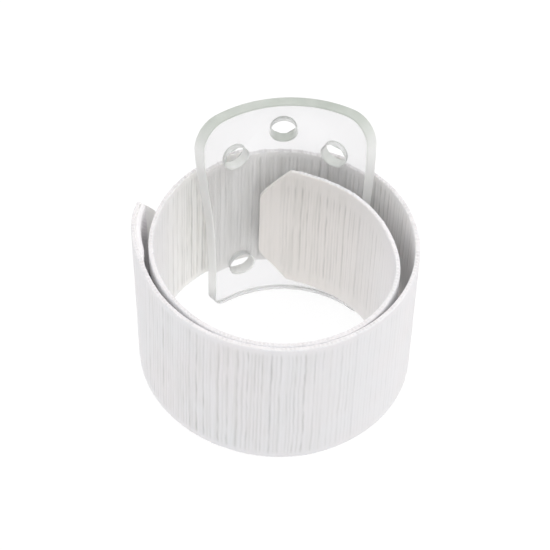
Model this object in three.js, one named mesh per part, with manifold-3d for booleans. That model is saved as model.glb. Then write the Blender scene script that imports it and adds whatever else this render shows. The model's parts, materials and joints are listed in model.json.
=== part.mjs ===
// A white elastic wrist strap, wound into a loose ring of nearly two turns, with a clear curved plate
// standing inside the back of the winding.
//
// The strap is one flat band. Seen from above it winds clockwise: its inner end stands free inside the
// back of the ring, then it passes right, front, left and back, and once more right and front, and its
// outer end stands a little off the left side. The band bends anywhere, so both loose lengths are cut
// into short sections, each turning about an upright hinge line on the face that closes as it bends:
//   inner end   3 sections, from the front right to the free end inside the back
//   ring        the middle of the band, which stays wound
//   outer end   7 sections, from the back right round the front to the free end at the left
// Units are millimetres. The winding is built about its own upright axis, with the band's lower edge at
// height 0, and then stands on a level surface: on the plate's two lower corners and the ring's front.

import * as THREE from 'three';
import { mergeVertices } from 'three/addons/utils/BufferGeometryUtils.js';
import Module from 'manifold-3d';

const wasm = await Module();
wasm.setup();

// ---- driving dimensions -------------------------------------------------------------------------

const GAP = 0.3; // clearance between neighbouring solids

// The band.
const BAND_WIDTH = 38;
const BAND_THICKNESS = 1.1;
const END_CORNER = { along: 7.5, across: 10 }; // both ends have their corners cut off
const SEAL_LENGTH = 4; // the smooth pressed border at each end

// The winding: the radius of the band's middle surface every 30 degrees, from the inner end outwards.
const START_DIRECTION = 99; // degrees from +X to the inner end
const KNOT_STEP = 30;
const RADII = [
  25.4, 24.3, 25.1, 26.8, 29.9, 31.7, 32.1, 31.4, 30.2, 29.8, 30.4, 32.1, // first turn
  33.9, 34.6, 34.4, 33.5, 33.15, 33.25, 33.55, 32.9, 32.3, 32.6, 35, 36.6, // second turn
];
const WINDING_END = 673; // degrees of winding from the inner end to the outer end
const INNER_ROOT = 130; // where the free inner end leaves the ring
const OUTER_ROOT = 429; // where the outer length leaves the ring
const INNER_SECTIONS = 3;
const OUTER_SECTIONS = 7;
const INNER_RISE = 1.2; // how far the tip of the inner end has worked up out of the winding
// The outer end leans out at the top: by how much over the band's width, and where that begins and is full.
const OUTER_LEAN = { amount: 1.7, from: 620, to: 655 };

// The closing patch on the inner face of the outer end.
const PATCH = { length: 13, height: 37, thickness: 1.3, inset: 3.3 };

// The clear plate, bent about an upright axis of its own.
const PLATE_THICKNESS = 3;
const PLATE_INNER_RADIUS = 25;
const PLATE_AXIS = { x: 1.9, y: 3.1 }; // measured from the winding's axis
const PLATE_TURN = 3.4; // degrees: the sheet was bent a little askew, so its right side stands higher
const PLATE_SHIFT = 1.1; // its middle, along the bent face from straight back to the right
const PLATE_MIDDLE = 25; // height of its middle above the band's lower edge
const PLATE_HALF_HEIGHT = 32;
const PLATE_HALF_WIDTH = { top: 22.5, waist: 20.4, foot: 21 }; // along the bent face
const PLATE_CORNER = { top: 6.5, bottom: 3.5 }; // corner radii
const HOLE_RADIUS = 3.15;
// Each hole's middle, across the sheet and up it.
const HOLES = [[-0.3, 23.6], [-12.5, 17.7], [12.1, 17.7], [-12.6, -20], [12.4, -20]];

// How the part stands.
const STAND_TILT = 6.9; // degrees, leaning forward onto the ring's front edge
const STAND_LEAN = 2.9; // degrees, leaning to the right

// ---- the band's shape ---------------------------------------------------------------------------

const radians = THREE.MathUtils.degToRad;
const degrees = THREE.MathUtils.radToDeg;

// Radius of the band's middle surface, a smooth curve through RADII.
function windingRadius(winding) {
  const last = RADII.length - 1;
  const k = Math.min(Math.max(Math.floor(winding / KNOT_STEP), 0), last - 1);
  const t = winding / KNOT_STEP - k;
  const before = k > 0 ? RADII[k - 1] : 2 * RADII[0] - RADII[1];
  const after = k + 2 <= last ? RADII[k + 2] : 2 * RADII[last] - RADII[last - 1];
  const [a, b, c, d] = [before, RADII[k], RADII[k + 1], after];
  const quadratic = 2 * a - 5 * b + 4 * c - d;
  const cubic = -a + 3 * b - 3 * c + d;
  return 0.5 * (2 * b + (c - a) * t + quadratic * t * t + cubic * t * t * t);
}

// A point of the band: its winding angle, its height, and its distance outside the middle surface.
function bandPoint(winding, height, offset) {
  const direction = radians(START_DIRECTION - winding);
  const lean = OUTER_LEAN.amount * THREE.MathUtils.smoothstep(winding, OUTER_LEAN.from, OUTER_LEAN.to);
  const r = windingRadius(winding) + offset + lean * (height / BAND_WIDTH - 0.5);
  const rise = INNER_RISE * Math.max(0, 1 - winding / INNER_ROOT);
  return new THREE.Vector3(r * Math.cos(direction), r * Math.sin(direction), height + rise);
}

// The winding angle of a length of band near a given place.
function angleOf(length, winding) {
  return degrees(length / windingRadius(winding));
}

// How far the cut-off corners set the band's end back at a height.
function cornerSetback(height) {
  const fromEdge = Math.min(height, BAND_WIDTH - height);
  return END_CORNER.along * Math.max(0, 1 - fromEdge / END_CORNER.across);
}

// ---- solids -------------------------------------------------------------------------------------

// A closed solid from a grid: corner(i, j, side) gives the point of column i and row j on the inner
// face (side 0) or the outer face (side 1).
function gridSolid(columns, rows, corner) {
  const points = [];
  const index = (i, j, side) => (i * (rows + 1) + j) * 2 + side;
  for (let i = 0; i <= columns; i++) {
    for (let j = 0; j <= rows; j++) {
      points.push(...corner(i, j, 0).toArray(), ...corner(i, j, 1).toArray());
    }
  }
  const faces = [];
  const quad = (a, b, c, d) => faces.push(a, b, c, a, c, d);
  for (let i = 0; i < columns; i++) {
    for (let j = 0; j < rows; j++) {
      quad(index(i, j, 1), index(i, j + 1, 1), index(i + 1, j + 1, 1), index(i + 1, j, 1));
      quad(index(i, j, 0), index(i + 1, j, 0), index(i + 1, j + 1, 0), index(i, j + 1, 0));
    }
    quad(index(i, 0, 0), index(i, 0, 1), index(i + 1, 0, 1), index(i + 1, 0, 0));
    quad(index(i, rows, 0), index(i + 1, rows, 0), index(i + 1, rows, 1), index(i, rows, 1));
  }
  for (let j = 0; j < rows; j++) {
    quad(index(0, j, 0), index(0, j + 1, 0), index(0, j + 1, 1), index(0, j, 1));
    quad(index(columns, j, 0), index(columns, j, 1), index(columns, j + 1, 1), index(columns, j + 1, 0));
  }
  const geometry = new THREE.BufferGeometry();
  geometry.setAttribute('position', new THREE.Float32BufferAttribute(points, 3));
  geometry.setIndex(faces);
  geometry.computeVertexNormals();
  return geometry;
}

const PLAIN_ROWS = [0, BAND_WIDTH];
const CORNER_ROWS = [0, 2.5, 5, 7.5, END_CORNER.across]
  .flatMap((h) => [h, BAND_WIDTH - h])
  .sort((a, b) => a - b);
const COLUMN_STEP = 4; // degrees of winding per facet

// A length of band between two edges, each given as a winding angle for every height.
function bandSolid(startAt, endAt, rows, inside = -BAND_THICKNESS / 2, outside = BAND_THICKNESS / 2) {
  const middle = rows[rows.length >> 1];
  const columns = Math.max(2, Math.round((endAt(middle) - startAt(middle)) / COLUMN_STEP));
  return gridSolid(columns, rows.length - 1, (i, j, side) => {
    const winding = THREE.MathUtils.lerp(startAt(rows[j]), endAt(rows[j]), i / columns);
    return bandPoint(winding, rows[j], side ? outside : inside);
  });
}

// Where a place on the plate's flat sheet comes to lie: its bend angle from straight back, and its height.
function sheetPlace(across, up) {
  const turn = radians(PLATE_TURN);
  const along = PLATE_SHIFT + across * Math.cos(turn) - up * Math.sin(turn);
  return { angle: along / PLATE_INNER_RADIUS, height: across * Math.sin(turn) + up * Math.cos(turn) };
}

// Radial cylinder through the plate, for a hole at a place on its sheet.
function plateDrill(across, up) {
  const { angle, height } = sheetPlace(across, up);
  const drill = new THREE.CylinderGeometry(HOLE_RADIUS, HOLE_RADIUS, 4 * PLATE_THICKNESS, 32);
  drill.translate(0, PLATE_INNER_RADIUS + PLATE_THICKNESS / 2, height);
  drill.rotateZ(-angle);
  return drill;
}

function toManifold(geometry) {
  const bare = geometry.clone();
  bare.deleteAttribute('normal');
  bare.deleteAttribute('uv');
  const merged = mergeVertices(bare, 1e-4);
  const mesh = new wasm.Mesh({
    numProp: 3,
    vertProperties: new Float32Array(merged.attributes.position.array),
    triVerts: new Uint32Array(merged.index.array),
  });
  return new wasm.Manifold(mesh);
}

function toGeometry(solid) {
  const mesh = solid.getMesh();
  const geometry = new THREE.BufferGeometry();
  geometry.setAttribute('position', new THREE.Float32BufferAttribute(mesh.vertProperties, 3));
  geometry.setIndex(Array.from(mesh.triVerts));
  geometry.computeVertexNormals();
  return geometry;
}

// Heights up the sheet, close together round its corners, each with the half width there.
function plateRows() {
  const { top, waist, foot } = PLATE_HALF_WIDTH;
  const steps = 6;
  const corner = (halfWidth, radius, sign) => Array.from({ length: steps + 1 }, (_, i) => {
    const turn = (i / steps) * (Math.PI / 2);
    const height = sign * (PLATE_HALF_HEIGHT - radius * (1 - Math.cos(turn)));
    return [height, halfWidth - radius * (1 - Math.sin(turn))];
  });
  return [
    ...corner(foot, PLATE_CORNER.bottom, -1),
    [-16, waist],
    [-4, waist],
    [10, (2 * waist + top) / 3],
    [18, (waist + 3 * top) / 4],
    ...corner(top, PLATE_CORNER.top, 1).reverse(),
  ];
}

function plateGeometry() {
  const rows = plateRows();
  const columns = 24;
  const bent = gridSolid(columns, rows.length - 1, (i, j, side) => {
    const [up, halfWidth] = rows[j];
    const { angle, height } = sheetPlace(THREE.MathUtils.lerp(-halfWidth, halfWidth, i / columns), up);
    const r = PLATE_INNER_RADIUS + side * PLATE_THICKNESS;
    return new THREE.Vector3(r * Math.sin(angle), r * Math.cos(angle), height);
  });
  let solid = toManifold(bent);
  for (const [across, up] of HOLES) {
    solid = solid.subtract(toManifold(plateDrill(across, up)));
  }
  return toGeometry(solid);
}

// ---- materials ----------------------------------------------------------------------------------

const bandMaterial = new THREE.MeshStandardMaterial({ color: 0xeceae8, roughness: 0.95, metalness: 0 });
const sealMaterial = new THREE.MeshStandardMaterial({ color: 0xe6e2dd, roughness: 0.7, metalness: 0 });
const patchMaterial = new THREE.MeshStandardMaterial({ color: 0xe4e2de, roughness: 0.9, metalness: 0 });
const plateMaterial = new THREE.MeshStandardMaterial({
  color: 0xe8eeea,
  roughness: 0.08,
  metalness: 0,
  transparent: true,
  opacity: 0.35,
});

// ---- assembly -----------------------------------------------------------------------------------

const winding = new THREE.Group(); // the winding's own frame

// A mesh whose geometry is moved so that it hangs from a pivot at the given point.
function addPiece(pivot, name, geometry, material, pivotPoint) {
  geometry.translate(-pivotPoint.x, -pivotPoint.y, -pivotPoint.z);
  const mesh = new THREE.Mesh(geometry, material);
  mesh.name = name;
  pivot.add(mesh);
}

// The hinge lines of a loose length, each half a gap from the sections' edges.
function hingeGroup(parent, parentPoint, point, name) {
  const pivot = new THREE.Group();
  pivot.name = name;
  pivot.position.copy(point).sub(parentPoint);
  parent.add(pivot);
  return pivot;
}

const axisPoint = new THREE.Vector3();

function addRing() {
  const start = INNER_ROOT + angleOf(GAP / 2, INNER_ROOT);
  const end = OUTER_ROOT - angleOf(GAP / 2, OUTER_ROOT);
  const ring = bandSolid(() => start, () => end, PLAIN_ROWS);
  addPiece(winding, 'strap_ring', ring, bandMaterial, axisPoint);
}

function addInnerEnd() {
  let parent = winding;
  let parentPoint = axisPoint;
  const step = INNER_ROOT / INNER_SECTIONS;
  for (let n = 1; n <= INNER_SECTIONS; n++) {
    const root = INNER_ROOT - (n - 1) * step;
    const isLast = n === INNER_SECTIONS;
    const point = bandPoint(root, BAND_WIDTH / 2, -BAND_THICKNESS / 2);
    const pivot = hingeGroup(parent, parentPoint, point, `inner_bend_${n}`);
    const near = root - angleOf(GAP / 2, root);
    const far = root - step + angleOf(GAP / 2, root - step);
    const edge = (height) => angleOf(cornerSetback(height), 0);
    const seam = (height) => edge(height) + angleOf(SEAL_LENGTH, 0);
    const startAt = isLast ? (height) => seam(height) + angleOf(GAP, 0) : () => far;
    const section = bandSolid(startAt, () => near, isLast ? CORNER_ROWS : PLAIN_ROWS);
    addPiece(pivot, `inner_section_${n}`, section, bandMaterial, point);
    if (isLast) {
      addPiece(pivot, 'inner_end_seal', bandSolid(edge, seam, CORNER_ROWS), sealMaterial, point);
    }
    parent = pivot;
    parentPoint = point;
  }
}

function patchSolid() {
  const end = WINDING_END - angleOf(PATCH.inset + SEAL_LENGTH, WINDING_END);
  const start = end - angleOf(PATCH.length, WINDING_END);
  const low = (BAND_WIDTH - PATCH.height) / 2;
  const outside = -BAND_THICKNESS / 2 - GAP;
  return bandSolid(() => start, () => end, [low, low + PATCH.height], outside - PATCH.thickness, outside);
}

function addOuterEnd() {
  let parent = winding;
  let parentPoint = axisPoint;
  const step = (WINDING_END - OUTER_ROOT) / OUTER_SECTIONS;
  for (let n = 1; n <= OUTER_SECTIONS; n++) {
    const root = OUTER_ROOT + (n - 1) * step;
    const isLast = n === OUTER_SECTIONS;
    const point = bandPoint(root, BAND_WIDTH / 2, BAND_THICKNESS / 2);
    const pivot = hingeGroup(parent, parentPoint, point, `outer_bend_${n}`);
    const near = root + angleOf(GAP / 2, root);
    const far = root + step - angleOf(GAP / 2, root + step);
    const edge = (height) => WINDING_END - angleOf(cornerSetback(height), WINDING_END);
    const seam = (height) => edge(height) - angleOf(SEAL_LENGTH, WINDING_END);
    const endAt = isLast ? (height) => seam(height) - angleOf(GAP, WINDING_END) : () => far;
    const section = bandSolid(() => near, endAt, isLast ? CORNER_ROWS : PLAIN_ROWS);
    addPiece(pivot, `outer_section_${n}`, section, bandMaterial, point);
    if (isLast) {
      addPiece(pivot, 'outer_end_seal', bandSolid(seam, edge, CORNER_ROWS), sealMaterial, point);
      addPiece(pivot, 'closing_patch', patchSolid(), patchMaterial, point);
    }
    parent = pivot;
    parentPoint = point;
  }
}

function addPlate() {
  const plate = new THREE.Mesh(plateGeometry(), plateMaterial);
  plate.name = 'clear_plate';
  plate.position.set(PLATE_AXIS.x, PLATE_AXIS.y, PLATE_MIDDLE);
  winding.add(plate);
}

addRing();
addInnerEnd();
addOuterEnd();
addPlate();

// Stand the winding on its surface, with the middle of its footprint over the origin.
const group = new THREE.Group();
winding.rotation.set(radians(STAND_TILT), radians(STAND_LEAN), 0);
group.add(winding);
group.updateMatrixWorld(true);
const bounds = new THREE.Box3().setFromObject(group, true);
const centre = bounds.getCenter(new THREE.Vector3());
winding.position.set(-centre.x, -centre.y, -bounds.min.z);
group.updateMatrixWorld(true);

export default group;
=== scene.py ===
"""The looks of a white elastic wrist strap, wound into a loose ring round a clear curved plate.

The strap is built as one long ribbed band in the winding's own frame (millimetres, winding axis
up). It is cut at the middle of each CAD section. A pad of hook tape lies on the inner face of its
outer end. The plate is one smooth bevelled solid. They stand for the plain CAD solids, in the
same place.
"""

import json
import math

import bpy
import numpy as np
from mathutils import Matrix, Vector, geometry


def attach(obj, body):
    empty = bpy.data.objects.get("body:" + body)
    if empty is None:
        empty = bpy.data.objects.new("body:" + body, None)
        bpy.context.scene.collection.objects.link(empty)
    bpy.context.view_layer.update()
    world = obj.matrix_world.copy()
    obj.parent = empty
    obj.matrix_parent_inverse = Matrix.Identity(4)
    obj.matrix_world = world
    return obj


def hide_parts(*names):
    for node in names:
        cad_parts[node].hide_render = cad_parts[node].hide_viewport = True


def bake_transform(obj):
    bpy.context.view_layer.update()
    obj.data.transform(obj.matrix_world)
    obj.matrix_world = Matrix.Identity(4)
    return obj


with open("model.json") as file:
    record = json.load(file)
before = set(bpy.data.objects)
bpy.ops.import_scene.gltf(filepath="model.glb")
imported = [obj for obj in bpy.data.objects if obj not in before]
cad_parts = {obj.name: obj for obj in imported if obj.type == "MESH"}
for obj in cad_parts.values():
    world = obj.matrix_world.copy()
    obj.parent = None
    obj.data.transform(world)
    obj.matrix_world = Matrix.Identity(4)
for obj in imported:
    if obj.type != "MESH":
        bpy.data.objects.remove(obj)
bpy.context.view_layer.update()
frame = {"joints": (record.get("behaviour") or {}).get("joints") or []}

# ---- driving dimensions, in millimetres and degrees, as in the CAD source -------------------

MM = 0.001

BAND_WIDTH = 38.0
BAND_THICKNESS = 1.1
END_CORNER = {"along": 7.5, "across": 10.0}
SEAL_LENGTH = 4.0

START_DIRECTION = 99.0
KNOT_STEP = 30.0
RADII = np.array([
    25.4, 24.3, 25.1, 26.8, 29.9, 31.7, 32.1, 31.4, 30.2, 29.8, 30.4, 32.1,
    33.9, 34.6, 34.4, 33.5, 33.15, 33.25, 33.55, 32.9, 32.3, 32.6, 35.0, 36.6,
])
WINDING_END = 673.0
INNER_ROOT = 130.0
OUTER_ROOT = 429.0
INNER_SECTIONS = 3
OUTER_SECTIONS = 7
INNER_STEP = INNER_ROOT / INNER_SECTIONS
OUTER_STEP = (WINDING_END - OUTER_ROOT) / OUTER_SECTIONS
INNER_RISE = 1.2
OUTER_LEAN = {"amount": 1.7, "from": 620.0, "to": 655.0}

PLATE_THICKNESS = 3.0
PLATE_INNER_RADIUS = 25.0
PLATE_AXIS = (1.9, 3.1)
PLATE_TURN = 3.4
PLATE_SHIFT = 1.1
PLATE_MIDDLE = 25.0
PLATE_HALF_HEIGHT = 32.0
PLATE_HALF_WIDTH = {"top": 22.5, "waist": 20.4, "foot": 21.0}
PLATE_CORNER = {"top": 6.5, "bottom": 3.5}
HOLE_RADIUS = 3.15
HOLES = [(-0.3, 23.6), (-12.5, 17.7), (12.1, 17.7), (-12.6, -20.0), (12.4, -20.0)]

# ---- dimensions of the looks, in millimetres and degrees -------------------------------------

# The ribs: grooves across the band, with a finer one between each two. Widths are shares of the
# pitch.
RIB_PITCH = 2.0
TONGUE_RIB_PITCH = 1.65
TONGUE_LENGTH = 35.0
RIB_DEPTH = 0.26
GROOVE_WIDTH = 0.105
FINE_GROOVE = {"width": 0.09, "depth": 0.35}
# How strongly the ribs, and the painted shade in their grooves, show every 30 degrees of winding.
RIB_STRENGTH = np.array([
    0.9, 1.2, 0.9, 0.4, 0.25, 0.2, 0.2, 0.2, 0.15, 0.12, 0.5, 1.2,
    1.4, 1.3, 1.0, 0.7, 0.3, 0.35, 0.8, 0.95, 0.85, 0.45, 0.2, 0.15,
])
# How much painted light lightens the strap's inner face, standing in for light through the thin
# fabric where it is shaded, and how rough its edges are, every 30 degrees of winding.
PAINTED_LIGHT_SHARE = np.array([
    0.0, 0.0, 0.0, 0.0, 0.0, 0.0, 0.0, 0.0, 0.0, 0.0, 0.3, 1.0,
    1.0, 0.8, 0.5, 0.4, 0.0, 0.0, 0.0, 0.0, 0.0, 0.5, 1.0, 1.0,
])
EDGE_FUZZ = np.array([
    0.2, 0.3, 0.5, 0.5, 0.2, 0.1, 0.1, 0.1, 0.1, 0.2, 0.6, 1.0,
    1.0, 1.0, 0.8, 0.4, 0.1, 0.1, 0.1, 0.1, 0.1, 0.1, 0.1, 0.0,
])
# How much each turn swells towards the other where they are pressed together, in millimetres.
PRESSED = np.array([
    0.0, 0.0, 0.0, 0.0, 0.0, 0.06, 0.1, 0.1, 0.0, 0.0, 0.0, 0.0,
    0.0, 0.0, 0.0, 0.0, 0.0, 0.06, 0.1, 0.1, 0.0, 0.0, 0.0, 0.0,
])
# The band's edges: their rounding, the dots of the cut rubber threads, and the fuzz.
EDGE_ROUNDING = 0.42
EDGE_DOT_PITCH = 1.05
EDGE_DOT_DEPTH = 0.35
FUZZ_HEIGHT = 0.34
# The band's ends: how far they are pressed in, and how blunt the corner of each cut is.
SEAL_PRESS = 0.1
CUT_ROUNDING = 0.012

# How finely the band is meshed. The cut-off corners squeeze the columns near each end.
FACE_ROWS = 46
RIM_ROWS = 7
COLUMN_STEP = 0.2
END_SQUEEZE = 14.0
# Where the band is cut past the ring's two ends, and how far from a hinge its two points lie.
SEAM_PAST_RING = 18.0
HINGE_REACH = 9.0

# The hook tape. It is longer than the CAD patch, and starts thin.
PATCH = {
    "length": 22.0, "height": 37.0, "thickness": 1.3, "inset": 3.3, "gap": 0.03, "taper": 7.0,
}
PATCH_EDGE = {"thickness": 0.6, "width": 0.5}
HOOKS = {"height": 0.1, "along": 1.1, "up": 1.25}

PLATE_BEVEL = 0.35
PLATE_MESH_PITCH = 1.3
# Corners and holes are cut into steps of this many degrees.
TURN_STEP = 7.5
# How green each drilled wall is where one looks down into it, in the order of HOLES.
HOLE_TONES = (1.0, 0.2, 0.5, 0.0, 0.0)

# Colours. A pair is mixed in patches, and a share says how much of a mark is mixed in: streaks,
# bands, and painted shade in the grooves.
PLAIN_COLOURS = ((0.82, 0.778, 0.79, 1), (0.78, 0.797, 0.82, 1))
# Painted light: the colour that the shaded inner face is lightened towards.
PAINTED_LIGHT_COLOUR = (0.985, 0.975, 0.945, 1)
# A warm tint on the tongue's inner face and pressed end, darkened there as painted shade.
WARM_SHADE_COLOUR = (0.785, 0.755, 0.725, 1)
RIM_COLOUR = (0.755, 0.73, 0.74, 1)
STREAKS = {"share": 0.18, "colour": (0.68, 0.675, 0.66, 1)}
BANDS = {"share": 0.24, "colour": (0.56, 0.555, 0.52, 1)}
# Painted shade in the rib grooves, standing in for their occlusion; the same mask darkens the
# dotted edges.
GROOVE_SHADE = {"share": 0.75, "colour": (0.38, 0.375, 0.36, 1)}
TAPE_COLOURS = ((0.79, 0.77, 0.78, 1), (0.86, 0.84, 0.85, 1))
ACRYLIC_IOR = 1.49
ACRYLIC_COLOUR = (0.952, 0.943, 0.955, 1)
ACRYLIC_SHADOW = (0.98, 0.985, 0.98, 1)
ACRYLIC_TINT = {"Color": (0.82, 0.86, 0.83, 1), "Density": 30.0}
EDGE_COLOUR = (0.87, 0.875, 0.86, 1)
DEEP_EDGE_COLOURS = ((0.36, 0.40, 0.35, 1), (0.64, 0.66, 0.625, 1))
PAPER_COLOURS = ((0.09, 0.09, 0.09, 1), (0.11, 0.11, 0.11, 1))

# ---- where the winding stands ----------------------------------------------------------------


def smoothstep(low, high, x):
    """0 below low, 1 above high, and smooth between."""
    t = np.clip((x - low) / (high - low), 0, 1)
    return t * t * (3 - 2 * t)


def winding_radius(winding):
    """Radius of the band's middle surface, a smooth curve through RADII."""
    last = len(RADII) - 1
    k = np.clip(np.floor(winding / KNOT_STEP), 0, last - 1).astype(int)
    t = winding / KNOT_STEP - k
    padded = np.concatenate([[2 * RADII[0] - RADII[1]], RADII, [2 * RADII[-1] - RADII[-2]]])
    a, b, c, d = (padded[k + i] for i in range(4))
    square = 2 * a - 5 * b + 4 * c - d
    cube = -a + 3 * b - 3 * c + d
    return 0.5 * (2 * b + (c - a) * t + square * t**2 + cube * t**3)


def band_point(winding, height, offset):
    """Points of the band in the winding's frame, in millimetres."""
    direction = np.radians(START_DIRECTION - winding)
    lean = OUTER_LEAN["amount"] * smoothstep(OUTER_LEAN["from"], OUTER_LEAN["to"], winding)
    r = winding_radius(winding) + offset + lean * (height / BAND_WIDTH - 0.5)
    rise = INNER_RISE * np.maximum(0, 1 - winding / INNER_ROOT)
    x, y = r * np.cos(direction), r * np.sin(direction)
    return np.stack(np.broadcast_arrays(x, y, height + rise), -1)


joints = {j["name"]: j for j in frame["joints"]}
up = Vector(joints["outer_bend_1"]["axis"])
tilt = Matrix.Rotation(math.atan2(-up.y, up.z), 3, "X")
stand = tilt @ Matrix.Rotation(math.asin(up.x), 3, "Y")
first_hinge = band_point(np.array(OUTER_ROOT), BAND_WIDTH / 2, BAND_THICKNESS / 2) * MM
place = Vector(joints["outer_bend_1"]["pos_m"]) - stand @ Vector(first_hinge)
STAND = np.array(stand)
PLACE = np.array(place)


def to_row(points):
    """From the winding's frame in millimetres to the row frame in metres."""
    return points * MM @ STAND.T + PLACE


# ---- small tools -----------------------------------------------------------------------------


def random_of(n, seed):
    """A fixed random number from 0 to 1 for each whole number."""
    return np.modf(np.abs(np.sin(n * 12.9898 + seed * 78.233) * 43758.5453))[0]


def noise_1d(x, seed):
    """Smooth noise from -1 to 1."""
    cell = np.floor(x)
    t = smoothstep(0, 1, x - cell)
    return (1 - t) * (2 * random_of(cell, seed) - 1) + t * (2 * random_of(cell + 1, seed) - 1)


def noise_2d(x, y, seed):
    """Smooth noise from -1 to 1 over a surface."""
    row_shift = 31.7
    row = np.floor(y)
    t = smoothstep(0, 1, y - row)
    below = noise_1d(x + row_shift * row, seed)
    above = noise_1d(x + row_shift * (row + 1), seed)
    return (1 - t) * below + t * above


def link_object(name, data):
    """A new object in the scene."""
    made = bpy.data.objects.new(name, data)
    bpy.context.scene.collection.objects.link(made)
    return made


def smooth_mesh(name, points, faces, *materials):
    """A smooth mesh in the row frame."""
    mesh = bpy.data.meshes.new(name)
    mesh.from_pydata(points.tolist(), [], faces)
    mesh.shade_smooth()
    for material in materials:
        mesh.materials.append(material)
    return mesh


# ---- materials -------------------------------------------------------------------------------


class Nodes:
    """A material's node tree, with its Principled shader."""

    def __init__(self, name):
        self.material = bpy.data.materials.new(name)
        self.material.use_nodes = True
        self.tree = self.material.node_tree
        self.shader = self.tree.nodes["Principled BSDF"]
        self.output = self.tree.nodes["Material Output"]

    def add(self, kind, inputs=None, **settings):
        node = self.tree.nodes.new(kind)
        for key, value in settings.items():
            setattr(node, key, value)
        for key, value in (inputs or {}).items():
            self.put(node.inputs[key], value)
        return node

    def put(self, socket, value):
        if isinstance(value, bpy.types.NodeSocket):
            self.tree.links.new(value, socket)
        else:
            socket.default_value = value

    def set(self, **values):
        for key, value in values.items():
            self.put(self.shader.inputs[key.replace("_", " ")], value)

    def math(self, operation, a, b):
        return self.add("ShaderNodeMath", {0: a, 1: b}, operation=operation).outputs[0]

    def attribute(self, name, output="Fac"):
        return self.add("ShaderNodeAttribute", attribute_name=name).outputs[output]

    def stretch(self, vector, scale):
        return self.add("ShaderNodeMapping", {"Vector": vector, "Scale": scale}).outputs[0]

    def remap(self, value, low, high, to_low=0.0, to_high=1.0):
        """A value that runs from to_low to to_high as the given one runs from low to high."""
        inputs = {"Value": value, "From Min": low, "From Max": high}
        inputs.update({"To Min": to_low, "To Max": to_high})
        return self.add("ShaderNodeMapRange", inputs).outputs[0]

    def bump(self, height, strength, distance):
        inputs = {"Height": height, "Strength": strength, "Distance": distance}
        self.set(Normal=self.add("ShaderNodeBump", inputs).outputs[0])

    def mix(self, factor, a, b):
        node = self.add("ShaderNodeMix", data_type="RGBA")
        self.put(node.inputs[0], factor)
        self.put(node.inputs[6], a)
        self.put(node.inputs[7], b)
        return node.outputs[2]

    def noise(self, vector, scale, detail=2.0, roughness=0.5):
        inputs = {"Vector": vector, "Scale": scale, "Detail": detail, "Roughness": roughness}
        return self.add("ShaderNodeTexNoise", inputs).outputs["Fac"]


def strap_material():
    """Dull white elastic webbing: yarn texture, painted shade and light, and a soft fuzz."""
    n = Nodes("webbing")
    at = n.attribute("strap_place", "Vector")
    streaks = n.noise(n.stretch(at, (1.0, 0.22, 1.0)), 2.3, 4.0, 0.6)
    bands = n.remap(n.noise(n.stretch(at, (1.0, 0.05, 1.0)), 0.85, 3.0, 0.65), 0.45, 0.62)
    bands = n.math("MULTIPLY", bands, n.attribute("ribbed"))
    colour = n.mix(n.noise(at, 0.06), *PLAIN_COLOURS)
    # Painted light on the inner face where it lies in shade.
    colour = n.mix(n.attribute("painted_light"), colour, PAINTED_LIGHT_COLOUR)
    # The tongue's warm tint, with painted shade.
    colour = n.mix(n.attribute("warmth_and_shade"), colour, WARM_SHADE_COLOUR)
    colour = n.mix(n.attribute("rim"), colour, RIM_COLOUR)
    # Darker streaks and bands, then painted shade in the grooves.
    for value, stain_and_shade in ((streaks, STREAKS), (bands, BANDS), (n.attribute("groove"), GROOVE_SHADE)):
        colour = n.mix(n.math("MULTIPLY", value, stain_and_shade["share"]), colour, stain_and_shade["colour"])
    n.set(Base_Color=colour, Roughness=0.92, Sheen_Weight=0.25, Sheen_Roughness=0.6)
    n.set(Specular_IOR_Level=0.2, Subsurface_Weight=0.3, Subsurface_Scale=0.0008)
    n.set(Subsurface_Radius=(1.0, 0.95, 0.9))
    yarn = n.add(
        "ShaderNodeTexWave",
        {"Vector": at, "Scale": 0.9, "Distortion": 3.0, "Detail": 2.0, "Detail Scale": 1.5},
        bands_direction="Y",
    ).outputs["Fac"]
    fibres = n.noise(at, 5.5, 5.0, 0.65)
    n.bump(n.math("ADD", n.math("MULTIPLY", yarn, 0.35), fibres), 0.35, 0.00012)
    return n.material


def patch_material():
    """Hook tape: dull white plastic."""
    n = Nodes("hook_tape")
    at = n.add("ShaderNodeTexCoord").outputs["Object"]
    mottle = n.noise(at, 900.0, 3.0)
    n.set(Base_Color=n.mix(mottle, *TAPE_COLOURS), Roughness=0.6)
    n.bump(mottle, 0.3, 0.0001)
    return n.material


def plate_material():
    """Clear polished acrylic, faint green through its thickness, that lets lamps through."""
    n = Nodes("clear_acrylic")
    at = n.add("ShaderNodeTexCoord").outputs["Object"]
    smears = n.noise(at, 120.0, 3.0)
    n.set(Base_Color=ACRYLIC_COLOUR, IOR=ACRYLIC_IOR, Transmission_Weight=0.86)
    n.set(Roughness=n.math("ADD", n.math("MULTIPLY", smears, 0.03), 0.01))
    n.bump(n.noise(at, 45.0, 1.0), 0.06, 0.0004)
    clear = n.add("ShaderNodeBsdfTransparent", {"Color": ACRYLIC_SHADOW}).outputs[0]
    shadow = n.add("ShaderNodeLightPath").outputs["Is Shadow Ray"]
    both = n.add("ShaderNodeMixShader", {0: shadow, 1: n.shader.outputs[0], 2: clear}).outputs[0]
    n.put(n.output.inputs["Surface"], both)
    tint = n.add("ShaderNodeVolumeAbsorption", ACRYLIC_TINT).outputs[0]
    n.put(n.output.inputs["Volume"], tint)
    return n.material


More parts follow.
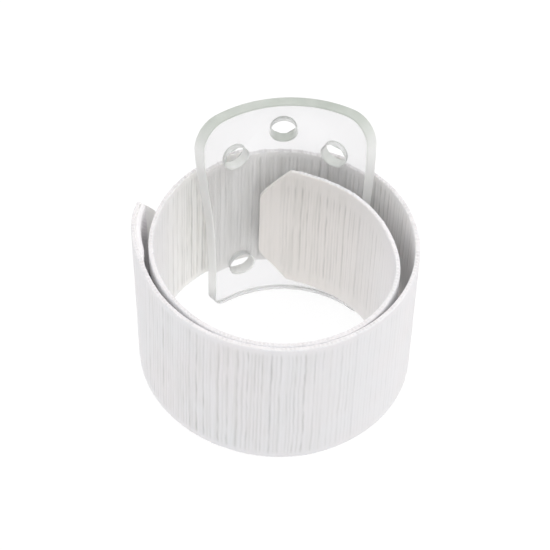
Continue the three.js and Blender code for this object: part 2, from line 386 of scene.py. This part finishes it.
def edge_material():
    """The plate's cut edges and drilled walls: milky, and greener where one looks down in."""
    n = Nodes("cut_acrylic_edge")
    at = n.add("ShaderNodeTexCoord").outputs["Object"]
    patches = n.noise(at, 130.0, 3.0)
    deep = n.mix(patches, *DEEP_EDGE_COLOURS)
    n.set(Base_Color=n.mix(n.attribute("upward"), EDGE_COLOUR, deep))
    # Along the foot the edge is clearer, and shows as a thin line.
    height = n.add("ShaderNodeSeparateXYZ", {0: at}).outputs[2]
    clearness = n.remap(height, 3 * MM, 8 * MM, 0.7, 0.15)
    n.set(Roughness=0.35, IOR=ACRYLIC_IOR, Transmission_Weight=clearness)
    return n.material


# ---- the strap -------------------------------------------------------------------------------

DENSE_COUNT = 6761
DENSE = np.linspace(0, WINDING_END, DENSE_COUNT)
dense_points = band_point(DENSE, BAND_WIDTH / 2, 0.0)
dense_steps = np.linalg.norm(np.diff(dense_points, axis=0), axis=1)
DENSE_LENGTH = np.concatenate([[0], np.cumsum(dense_steps)])
STRAP_LENGTH = DENSE_LENGTH[-1]


def length_at(winding):
    """How far along the band an angle of winding is, in millimetres."""
    return np.interp(winding, DENSE, DENSE_LENGTH)


def winding_at(length):
    """The angle of winding at a length along the band."""
    return np.interp(length, DENSE_LENGTH, DENSE)


def along_winding(table, winding):
    """A value from a table with one entry every KNOT_STEP of winding."""
    return np.interp(winding / KNOT_STEP, np.arange(len(table)), table)


def section_profile():
    """The band's section as a closed loop: (height, offset, normal up, normal out), from the outer
    face's foot up to the top edge, and down the inner face to the bottom edge."""
    edge = EDGE_ROUNDING
    half = BAND_THICKNESS / 2
    t = np.linspace(0, 1, FACE_ROWS)
    # The rows lie closer near the two edges.
    crowding = 0.6
    share = t - crowding * np.sin(2 * np.pi * t) / (2 * np.pi)
    face = edge + (BAND_WIDTH - 2 * edge) * share
    turn = np.linspace(0, np.pi, RIM_ROWS + 2)[1:-1]
    rim_up = np.sin(turn)
    rim_out = np.cos(turn)
    rows = [(z, half, 0.0, 1.0) for z in face]
    flat = half - edge
    rows += [
        (BAND_WIDTH - edge + edge * u, edge * o + flat * np.sign(round(o, 6)), u, o)
        for u, o in zip(rim_up, rim_out)
    ]
    rows += [(z, -half, 0.0, -1.0) for z in face[::-1]]
    rows += [
        (edge - edge * u, -edge * o - flat * np.sign(round(o, 6)), -u, -o)
        for u, o in zip(rim_up, rim_out)
    ]
    return np.array(rows)


def border_of(height):
    """1 over most of the band, fading out at its edges."""
    return smoothstep(0.8, 2.6, np.minimum(height, BAND_WIDTH - height))


def ribs(length, height, inner_face):
    """Depth of the ribs' grooves, 0 to 1, at places on the band."""
    strength = along_winding(RIB_STRENGTH, winding_at(length))
    wave = 0.16 * noise_2d(length / 9, height / 11, 2)
    wave = wave + 0.09 * noise_2d(length / 3, height / 1.9, 1)
    # Ribs lie closer where the strap is slack, on the tongue.
    slack = TONGUE_LENGTH * (1 - np.exp(-length / TONGUE_LENGTH))
    counted = length / RIB_PITCH + slack * (1 / TONGUE_RIB_PITCH - 1 / RIB_PITCH)
    u = counted + wave / RIB_PITCH + 0.36 * noise_1d(length / (1.9 * RIB_PITCH), 3)
    number = np.round(u)
    away = u - number
    deep = 0.35 + 0.65 * random_of(number, 4)
    fade = 0.6 + 0.4 * noise_2d(number * 0.73, height / 3.5, 5)
    main = deep * fade * np.exp(-((away / GROOVE_WIDTH) ** 2))
    half_way = np.abs(away) - 0.5
    fine = FINE_GROOVE["depth"] * random_of(np.floor(u), 6)
    fine = fine * np.exp(-((half_way / FINE_GROOVE["width"]) ** 2))
    near_edge = np.minimum(height, BAND_WIDTH - height)
    tongue = inner_face * smoothstep(75, 40, length)
    # They stop short of the edges, further on the tongue's inner face, and at the pressed ends.
    border = smoothstep(0.8 + 2.6 * tongue, 2.6 + 3.6 * tongue, near_edge)
    from_tip = np.minimum(length, STRAP_LENGTH - length)
    return (main + fine) * strength * border * smoothstep(SEAL_LENGTH, SEAL_LENGTH + 3, from_tip)


def strap_columns():
    """Where the columns of the band's grid stand along it, with one at each seam."""
    seams = [length_at(w) for w in seam_windings()]
    stops = [0, END_SQUEEZE, *seams, STRAP_LENGTH - END_SQUEEZE, STRAP_LENGTH]
    columns = [
        np.linspace(a, b, max(2, round((b - a) / COLUMN_STEP)), endpoint=False)
        for a, b in zip(stops[:-1], stops[1:])
    ]
    return np.concatenate([*columns, [STRAP_LENGTH]])


def cut_corners(base, height):
    """The columns' places along the band at each height, drawn in by the cut-off corners."""
    from_edge = np.minimum(height, BAND_WIDTH - height)
    sharp = np.maximum(0, 1 - from_edge / END_CORNER["across"])
    # The corner where each cut begins is rounded, as scissors leave it.
    rounded = np.sqrt(sharp**2 + CUT_ROUNDING) - math.sqrt(CUT_ROUNDING) * (1 - sharp)
    setback = END_CORNER["along"] * rounded
    start = np.clip(1 - base / END_SQUEEZE, 0, 1)
    end = np.clip(1 - (STRAP_LENGTH - base) / END_SQUEEZE, 0, 1)
    return base[:, None] + start[:, None] * setback - end[:, None] * setback


def strap_grid():
    """The whole band as a grid of points: one row of the array for each column along the band."""
    height, offset, normal_up, normal_out = section_profile().T
    base = strap_columns()
    length = cut_corners(base, height)
    winding = winding_at(length)
    z = np.broadcast_to(height, length.shape)
    inner_face = np.broadcast_to((normal_out < -0.5).astype(float), length.shape)
    groove = ribs(length, z, inner_face)
    face_part = np.abs(normal_out)
    edge_part = 1 - face_part
    # The edges are cut across the rubber threads, so they show as a row of small dots.
    turns = 2 * np.pi * length / EDGE_DOT_PITCH
    dots = 0.5 + 0.5 * np.sin(turns + 2.2 * noise_1d(length / 2.3, 10))
    dotted = smoothstep(-0.6, 0.5, noise_1d(length / 3.1, 11))
    groove = groove + EDGE_DOT_DEPTH * edge_part * dots * dotted
    scallop = 0.1 - 0.16 * dots + 0.12 * noise_1d(length / 0.7, 8)
    from_tip = np.minimum(length, STRAP_LENGTH - length)
    from_end = np.minimum(base, STRAP_LENGTH - base)[:, None]
    sealed = smoothstep(SEAL_LENGTH + 0.6, SEAL_LENGTH - 0.4, from_end)
    # The surface stands a little out of the CAD band, unevenly, and the grooves go into it.
    bulge = 0.03 + 0.05 * noise_2d(length / 5, z / 6, 9) * 0.5
    push = face_part * (bulge - RIB_DEPTH * groove)
    push = push + edge_part * scallop * smoothstep(2, 5, from_tip)
    push = push - face_part * SEAL_PRESS * sealed
    fuzz = noise_2d(length / 0.33, z / 0.4, 12) + 0.6 * noise_1d(length / 0.9, 13)
    fuzz = FUZZ_HEIGHT * fuzz * along_winding(EDGE_FUZZ, winding) * smoothstep(3, 6, from_tip)
    push = push + edge_part * fuzz
    # The inner turn swells outwards and the outer turn inwards.
    facing = np.where(winding < 360, 1, -1)
    swell = along_winding(PRESSED, winding) * (0.5 * facing + offset / BAND_THICKNESS)
    points = band_point(winding, z + normal_up * push, offset + normal_out * push + swell)
    attributes = {
        "length": length,
        "height": z,
        "side": inner_face,
        # groove: the grooves' depth, also the mask of their painted shade.
        "groove": groove,
        # The tongue's warm tint, darkened as painted shade.
        "warmth_and_shade": inner_face * smoothstep(60, 8, length) + 0.6 * sealed * (length < 20),
        # Painted light on the shaded inner face, at the back of the ring and on the tail.
        "painted_light": along_winding(PAINTED_LIGHT_SHARE, winding) * inner_face,
        "rim": edge_part * smoothstep(80, 150, winding),
        "ribbed": along_winding(RIB_STRENGTH, winding) ** 2 * border_of(z),
    }
    return base, points, attributes


def seam_windings():
    """Where the strap is cut: the middles of the CAD sections, and past the ring's ends."""
    inner = [INNER_STEP * (n + 0.5) for n in range(1, INNER_SECTIONS)]
    outer = [OUTER_ROOT + OUTER_STEP * (n + 0.5) for n in range(OUTER_SECTIONS - 1)]
    return [*inner, INNER_ROOT + SEAM_PAST_RING, OUTER_ROOT - SEAM_PAST_RING, *outer]


def grid_normals(points):
    """The normal at each point of the band's grid."""
    along = np.gradient(points, axis=0)
    around = np.roll(points, -1, axis=1) - np.roll(points, 1, axis=1)
    normals = np.cross(around, along)
    return normals / np.linalg.norm(normals, axis=2, keepdims=True)


def grid_piece(name, points, normals, attributes, material):
    """A closed length of band from columns of the grid, with its two ends capped."""
    columns, around = points.shape[:2]
    index = np.arange(columns * around).reshape(columns, around)
    here, ahead = index[:-1], index[1:]
    quads = np.stack([here, np.roll(here, -1, 1), np.roll(ahead, -1, 1), ahead], -1)
    quads = quads.reshape(-1, 4)
    corner = normals.reshape(-1, 3)[quads.ravel()]
    caps = []
    cap_normals = []
    for column, step in ((index[0], -1), (index[-1], 1)):
        for i in range(-RIM_ROWS // 2, FACE_ROWS + RIM_ROWS // 2):
            # Each point of the outer face is joined to the one behind it on the inner face.
            quad = [i, i + 1, around - RIM_ROWS - 2 - i, around - RIM_ROWS - 1 - i][::step]
            quad = list(dict.fromkeys(int(column[v % around]) for v in quad))
            flat = points.reshape(-1, 3)[quad]
            across = np.cross(flat[1] - flat[0], flat[2] - flat[0])
            caps.append(quad)
            cap_normals += [across / np.linalg.norm(across)] * len(quad)
    corner_normals = np.concatenate([corner, np.array(cap_normals)])
    mesh = smooth_mesh(name, to_row(points.reshape(-1, 3)), quads.tolist() + caps, material)
    mesh.normals_split_custom_set(corner_normals @ STAND.T)
    # The two faces have textures of their own, taken this far apart.
    face_gap = 50
    place_of = np.stack(
        [attributes["length"], attributes["height"], face_gap * attributes["side"]], -1
    )
    vector = mesh.attributes.new("strap_place", "FLOAT_VECTOR", "POINT")
    vector.data.foreach_set("vector", place_of.astype(np.float32).ravel())
    for key in ("groove", "warmth_and_shade", "painted_light", "rim", "ribbed"):
        value = mesh.attributes.new(key, "FLOAT", "POINT")
        value.data.foreach_set("value", attributes[key].astype(np.float32).ravel())
    return link_object(name, mesh)


def hinge_ends(winding, side):
    """Two points in the row frame, before and after a hinge line of the band."""
    reach = np.degrees(HINGE_REACH / winding_radius(np.array(winding)))
    at = band_point(np.array([winding - reach, winding + reach]), BAND_WIDTH / 2, 0.0)
    before, after = to_row(at)
    return (before, after) if side > 0 else (after, before)


def strap_lengths():
    """For each piece of strap: its name, the nodes that it stands for, its bodies, its hinge, and
    the side of the hinge that moves."""
    lengths = []
    for n in range(INNER_SECTIONS, 0, -1):
        nodes = [f"inner_section_{n}"] + ["inner_end_seal"] * (n == INNER_SECTIONS)
        bodies = ("ring" if n == 1 else f"inner_{n - 1}", f"inner_{n}")
        hinge = INNER_ROOT - (n - 1) * INNER_STEP
        lengths.append((f"webbing_inner_{n}", nodes, bodies, hinge, -1))
    lengths.append(("webbing_ring", ["strap_ring"], ("ring",), None, 0))
    for n in range(1, OUTER_SECTIONS + 1):
        nodes = [f"outer_section_{n}"] + ["outer_end_seal"] * (n == OUTER_SECTIONS)
        bodies = ("ring" if n == 1 else f"outer_{n - 1}", f"outer_{n}")
        hinge = OUTER_ROOT + (n - 1) * OUTER_STEP
        lengths.append((f"webbing_outer_{n}", nodes, bodies, hinge, 1))
    return lengths


def make_strap():
    """The band, in one piece for each bend and one for the ring."""
    material = strap_material()
    base, points, attributes = strap_grid()
    normals = grid_normals(points)
    ends = [0.0, *[length_at(w) for w in seam_windings()], STRAP_LENGTH]
    columns = [int(np.argmin(np.abs(base - end))) for end in ends]
    for first, last, length in zip(columns[:-1], columns[1:], strap_lengths()):
        name, nodes, bodies, hinge, side = length
        part = slice(first, last + 1)
        own = {key: value[part] for key, value in attributes.items()}
        piece = grid_piece(name, points[part], normals[part], own, material)
        if hinge is None:
            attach(piece, bodies[0])
        else:
            before, after = hinge_ends(hinge, side)
            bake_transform(piece)
        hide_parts(*nodes)


def patch_depth(along, up_it):
    """How thick the hook tape is at places on it: thin at its edges and where it starts."""
    edge = np.minimum(np.minimum(along, PATCH["length"] - along), up_it)
    edge = np.minimum(edge, PATCH["height"] - up_it)
    pile = np.sqrt(np.clip(edge / PATCH_EDGE["width"], 0, 1))
    hooks = np.sin(2 * np.pi * along / HOOKS["along"]) * np.sin(2 * np.pi * up_it / HOOKS["up"])
    rise = PATCH["thickness"] - PATCH_EDGE["thickness"] - HOOKS["height"]
    depth = PATCH_EDGE["thickness"] + rise * pile
    depth = depth + HOOKS["height"] * pile * smoothstep(-0.2, 0.9, hooks)
    return depth * (0.15 + 0.85 * smoothstep(0, PATCH["taper"], along))


def make_patch():
    """Hook tape on the inner face of the outer end: a curved pad with rows of small hooks."""
    end_radius = float(winding_radius(np.array(WINDING_END)))
    end = WINDING_END - math.degrees((PATCH["inset"] + SEAL_LENGTH) / end_radius)
    start = end - math.degrees(PATCH["length"] / end_radius)
    low = (BAND_WIDTH - PATCH["height"]) / 2
    outside = -BAND_THICKNESS / 2 - PATCH["gap"]
    rows, across = 89, 241
    u = np.linspace(0, 1, rows)
    v = np.linspace(0, 1, across)
    along, up_it = np.meshgrid(u * PATCH["length"], v * PATCH["height"], indexing="ij")
    winding = start + (end - start) * along / PATCH["length"]
    inner = band_point(winding, low + up_it, outside - patch_depth(along, up_it))
    outer = band_point(winding, low + up_it, outside)
    grid = np.stack([outer, inner], 2)
    index = np.arange(rows * across * 2).reshape(rows, across, 2)
    faces = []
    o, i = index[..., 0], index[..., 1]
    for face, first, third in ((o, o[1:, :-1], o[:-1, 1:]), (i, i[:-1, 1:], i[1:, :-1])):
        quads = np.stack([first, face[1:, 1:], third, face[:-1, :-1]], -1)
        faces += quads.reshape(-1, 4).tolist()
    for edge_o, edge_i, flip in (
        (o[0], i[0], 1), (o[-1], i[-1], -1), (o[:, 0], i[:, 0], -1), (o[:, -1], i[:, -1], 1),
    ):
        side = np.stack([edge_o[:-1], edge_i[:-1], edge_i[1:], edge_o[1:]], -1)
        faces += side[:, ::flip].tolist()
    mesh = smooth_mesh("hook_patch", to_row(grid.reshape(-1, 3)), faces, patch_material())
    mesh.set_sharp_from_angle(angle=math.radians(50))
    piece = link_object("hook_patch", mesh)
    before, after = hinge_ends(WINDING_END - OUTER_STEP, 1)
    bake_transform(piece)
    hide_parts("closing_patch")


# ---- the clear plate -------------------------------------------------------------------------


def plate_half_width(up_it):
    """Half the plate's width at a height on its flat sheet: narrowest at the waist."""
    top, waist, foot = (PLATE_HALF_WIDTH[k] for k in ("top", "waist", "foot"))
    to_foot = smoothstep(-14, -30, up_it)
    return waist + (top - waist) * smoothstep(-6, 26, up_it) + (foot - waist) * to_foot


def plate_outline():
    """The plate's outline on its flat sheet, anticlockwise, about 0.8 mm a step."""
    right = []
    for sign, radius in ((-1, PLATE_CORNER["bottom"]), (1, PLATE_CORNER["top"])):
        width = float(plate_half_width(sign * PLATE_HALF_HEIGHT))
        x, y = width - radius, sign * (PLATE_HALF_HEIGHT - radius)
        turn = np.radians(np.arange(0, 91, TURN_STEP))
        arc = [(x + radius * math.cos(a), y + sign * radius * math.sin(a)) for a in turn]
        right.append(arc[::-1] if sign < 0 else arc)
    low_end = right[0][-1][1]
    high_end = right[1][0][1]
    side = np.linspace(low_end, high_end, 72)[1:-1]
    edge = [(float(plate_half_width(h)), h) for h in side]
    half = right[0] + edge + right[1]
    foot = half[0][0]
    top = half[-1][0]
    bottom_edge = [(x, -PLATE_HALF_HEIGHT) for x in np.linspace(-foot, foot, 48)[1:-1]]
    top_edge = [(x, PLATE_HALF_HEIGHT) for x in np.linspace(top, -top, 40)[1:-1]]
    left = [(-x, y) for x, y in half[::-1]]
    return np.array(half + top_edge + left + bottom_edge)


def outline_normals(outline):
    """The directions straight out of the outline, on the sheet."""
    step = np.roll(outline, -1, 0) - np.roll(outline, 1, 0)
    normals = np.stack([step[:, 1], -step[:, 0]], -1)
    return normals / np.linalg.norm(normals, axis=1, keepdims=True)


def plate_place(flat, depth):
    """Sheet places (across, up) at a depth into the plate, as points in the winding's frame, with
    the directions there: out through the plate, and along the bend."""
    turn = math.radians(PLATE_TURN)
    across, up_it = flat[:, 0], flat[:, 1]
    shrink = 1 - PLATE_INNER_RADIUS / (PLATE_INNER_RADIUS + depth)
    for x, y in HOLES:
        away = np.hypot(across - x, up_it - y)
        # A drilled hole keeps its size through the bend.
        near = smoothstep(2.2 * HOLE_RADIUS, HOLE_RADIUS + PLATE_BEVEL, away)
        across = across - (across - x) * shrink * near
    along = PLATE_SHIFT + across * math.cos(turn) - up_it * math.sin(turn)
    height = PLATE_MIDDLE + across * math.sin(turn) + up_it * math.cos(turn)
    angle = along / PLATE_INNER_RADIUS
    level = np.zeros_like(angle)
    out = np.stack([np.sin(angle), np.cos(angle), level], -1)
    tangent = np.stack([np.cos(angle), -np.sin(angle), level], -1)
    centre = np.stack([PLATE_AXIS[0] + level, PLATE_AXIS[1] + level, height], -1)
    points = centre + out * (PLATE_INNER_RADIUS + depth)[:, None]
    return points, out, tangent


def face_mesh(boundaries):
    """Triangles over the sheet between the outline and the holes."""
    rng = np.random.default_rng(5)
    spots = []
    pitch = PLATE_MESH_PITCH
    # A little more than half the plate's greatest width.
    wide = 23
    rows = np.arange(-PLATE_HALF_HEIGHT + 1.2, PLATE_HALF_HEIGHT - 1, pitch * 0.87)
    for j, y in enumerate(rows):
        for x in np.arange(-wide + (j % 2) * pitch / 2, wide, pitch):
            spots.append((x, y))
    spots = np.array(spots) + rng.uniform(-0.02, 0.02, (len(spots), 2))
    keep = np.abs(spots[:, 0]) < plate_half_width(spots[:, 1]) - PLATE_BEVEL
    for loop in boundaries:
        gap = np.linalg.norm(spots[:, None] - loop[None], axis=2).min(1)
        keep &= gap > 0.75
    for x, y in HOLES:
        keep &= np.hypot(spots[:, 0] - x, spots[:, 1] - y) > HOLE_RADIUS + PLATE_BEVEL
    verts = [Vector(p) for p in np.concatenate([*boundaries, spots[keep]])]
    edges = []
    start = 0
    for loop in boundaries:
        n = len(loop)
        edges += [(start + i, start + (i + 1) % n) for i in range(n)]
        start += n
    made = geometry.delaunay_2d_cdt(verts, edges, [], 1, 1e-5)
    flat = np.array([tuple(v) for v in made[0]])
    triangles = np.array(made[2])
    middle = flat[triangles].mean(1)
    solid = np.ones(len(triangles), bool)
    for x, y in HOLES:
        solid &= np.hypot(middle[:, 0] - x, middle[:, 1] - y) > HOLE_RADIUS
    return flat, triangles[solid]


def plate_loops():
    """The outline and the holes on the flat sheet, each with its normals out of the plate."""
    outline = plate_outline()
    loops = [(outline, outline_normals(outline))]
    turn = np.radians(np.arange(360, 0, -TURN_STEP))
    ring = np.stack([np.cos(turn), np.sin(turn)], -1)
    return loops + [(np.array(hole) + HOLE_RADIUS * ring, -ring) for hole in HOLES]


def wall_rings():
    """The rows of an edge's wall, from the inner face to the outer one: how far in from the cut
    edge, how deep, and the normal's parts, out of the edge and out of the face."""
    bevel = PLATE_BEVEL
    rings = [
        (bevel * (1 - math.sin(a)), bevel * (1 - math.cos(a)), math.sin(a), -math.cos(a))
        for a in np.radians(np.linspace(0, 90, 5))
    ]
    far_side = [
        (inset, PLATE_THICKNESS - depth, side, -face) for inset, depth, side, face in rings[::-1]
    ]
    return [*rings, (0.0, PLATE_THICKNESS / 2, 1.0, 0.0), *far_side]


def make_plate():
    """Two bent faces, joined by a bevelled wall along the outline and through each hole."""
    loops = plate_loops()
    boundaries = [loop - PLATE_BEVEL * normal for loop, normal in loops]
    flat, triangles = face_mesh(boundaries)
    count = len(flat)
    points, normals, faces, upward = [], [], [], [np.zeros(2 * count)]
    for depth, sign in ((0.0, -1), (PLATE_THICKNESS, 1)):
        at, out, _ = plate_place(flat, np.full(count, depth))
        points.append(at)
        normals.append(sign * out)
        order = triangles if sign < 0 else triangles[:, ::-1]
        faces += (order + len(points[0]) * (sign > 0)).tolist()
    total = 2 * count
    turn_sheet = math.radians(PLATE_TURN)
    for (loop, normal), boundary, deep in zip(loops, boundaries, (1.0, *HOLE_TONES)):
        n = len(loop)
        distance = np.linalg.norm(flat[None, :] - boundary[:, None], axis=2)
        face_index = distance.argmin(1)
        along = normal[:, 0] * math.cos(turn_sheet) - normal[:, 1] * math.sin(turn_sheet)
        rise = normal[:, 0] * math.sin(turn_sheet) + normal[:, 1] * math.cos(turn_sheet)
        previous = face_index
        for inset, depth, side, face in wall_rings()[1:]:
            if depth == PLATE_THICKNESS:
                current = face_index + count
            else:
                at, out, tangent = plate_place(loop - inset * normal, np.full(n, depth))
                sideways = tangent * along[:, None] + np.array([0, 0, 1.0]) * rise[:, None]
                points.append(at)
                normals.append(side * sideways + face * out)
                upward.append(deep * np.clip(rise, 0, 1))
                current = total + np.arange(n)
                total += n
            ahead = np.roll(np.arange(n), -1)
            faces += np.stack([previous, current, current[ahead], previous[ahead]], -1).tolist()
            previous = current
    corners = [v for face in faces for v in face]
    both = (plate_material(), edge_material())
    mesh = smooth_mesh("acrylic_plate", to_row(np.concatenate(points)), faces, *both)
    mesh.normals_split_custom_set(np.concatenate(normals)[corners] @ STAND.T)
    on_edge = [0] * (2 * len(triangles)) + [1] * (len(faces) - 2 * len(triangles))
    mesh.polygons.foreach_set("material_index", on_edge)
    tone = mesh.attributes.new("upward", "FLOAT", "POINT")
    tone.data.foreach_set("value", np.concatenate(upward).astype(np.float32))
    piece = link_object("acrylic_plate", mesh)
    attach(piece, "plate")
    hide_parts("clear_plate")


# ---- the set ---------------------------------------------------------------------------------

CAMERA_ELEVATION = 46.0
CAMERA_DISTANCE = 550.0
CAMERA_LEAN = 1.6
CAMERA_TARGET = (0.0, 26.5, 0.0)
CAMERA_PIVOT = (0.0, 0.0, BAND_WIDTH / 2)
LENS = 139.5
# The sky's light from straight below to straight up: (place on the ramp, level).
SKY = ((0.0, 0.03), (0.15, 0.06), (0.42, 0.88), (0.72, 1.0), (0.9, 0.5), (1.0, 0.45))
SKY_STRENGTH = 1.34
# Round lamps: direction, size in metres and power in watts, all at one distance.
LAMP_DISTANCE = 0.9
LAMPS = {
    "right": ((1.0, 0.0, 0.7), 1.2, 1.9),
    "left": ((-1.0, 0.2, 0.7), 0.7, 0.4),
    "front": ((0.0, -0.5, 1.0), 0.5, 1.4),
}
PAPER_GLOW = 0.92
PAPER_HALF = 3.0


def make_camera():
    """The camera looks down at the winding, and turns with it."""
    elevation = math.radians(CAMERA_ELEVATION)
    back = Vector((0, -math.cos(elevation), math.sin(elevation)))
    view_up = Vector((0, math.sin(elevation), math.cos(elevation)))
    where = Vector(CAMERA_TARGET) + back * CAMERA_DISTANCE
    lean = Matrix.Rotation(math.radians(-CAMERA_LEAN), 3, "Y")
    pivot = Vector(CAMERA_PIVOT)
    spot = lean @ (where - pivot) + pivot
    turned = stand @ lean
    right = turned @ Vector((1, 0, 0))
    axes = Matrix((right, turned @ view_up, turned @ back)).transposed()
    data = bpy.data.cameras.new("camera")
    data.lens = LENS
    data.sensor_width = 36.0
    data.clip_start = 0.01
    data.clip_end = 20.0
    camera = link_object("camera", data)
    camera.matrix_world = Matrix.Translation(stand @ (spot * MM) + place) @ axes.to_4x4()
    bpy.context.scene.camera = camera


def make_sky():
    """Soft light from all round, strongest from halfway up."""
    world = bpy.data.worlds.new("studio")
    world.use_nodes = True
    tree = world.node_tree
    rise = tree.nodes.new("ShaderNodeSeparateXYZ")
    tree.links.new(tree.nodes.new("ShaderNodeTexCoord").outputs["Generated"], rise.inputs[0])
    ramp = tree.nodes.new("ShaderNodeValToRGB")
    tree.links.new(rise.outputs[2], ramp.inputs[0])
    stops = ramp.color_ramp.elements
    for _ in range(len(SKY) - len(stops)):
        stops.new(0.5)
    for stop, (where, level) in zip(stops, SKY):
        stop.position = where
        stop.color = (level, level, level, 1)
    tree.links.new(ramp.outputs[0], tree.nodes["Background"].inputs["Color"])
    tree.nodes["Background"].inputs["Strength"].default_value = SKY_STRENGTH
    bpy.context.scene.world = world


def make_lamps():
    """A strong lamp on the right and weaker ones on the left and in front."""
    for name, (direction, size, power) in LAMPS.items():
        data = bpy.data.lights.new(name, "AREA")
        data.shape = "DISK"
        data.size = size
        data.energy = power
        lamp = link_object(name, data)
        aim = Vector(direction).normalized()
        lamp.location = aim * LAMP_DISTANCE + Vector((0, 0, 0.02))
        lamp.rotation_euler = aim.to_track_quat("Z", "Y").to_euler()


def make_floor():
    """White paper that gives off light of its own, as on a light table."""
    n = Nodes("paper")
    at = n.add("ShaderNodeTexCoord").outputs["Object"]
    grain = n.noise(at, 400.0, 2.0)
    n.set(Base_Color=n.mix(grain, *PAPER_COLOURS), Roughness=0.9)
    n.set(Specular_IOR_Level=0.1, Emission_Color=(1, 1, 1, 1), Emission_Strength=PAPER_GLOW)
    mesh = bpy.data.meshes.new("floor")
    half = PAPER_HALF
    corners = [(-half, -half, 0), (half, -half, 0), (half, half, 0), (-half, half, 0)]
    mesh.from_pydata(corners, [], [(0, 1, 2, 3)])
    mesh.materials.append(n.material)
    floor = link_object("floor", mesh)
    floor.location.z = -0.0001


bpy.context.scene.view_settings.view_transform = "Standard"
make_camera()
make_sky()
make_lamps()
make_floor()
make_strap()
make_patch()
make_plate()
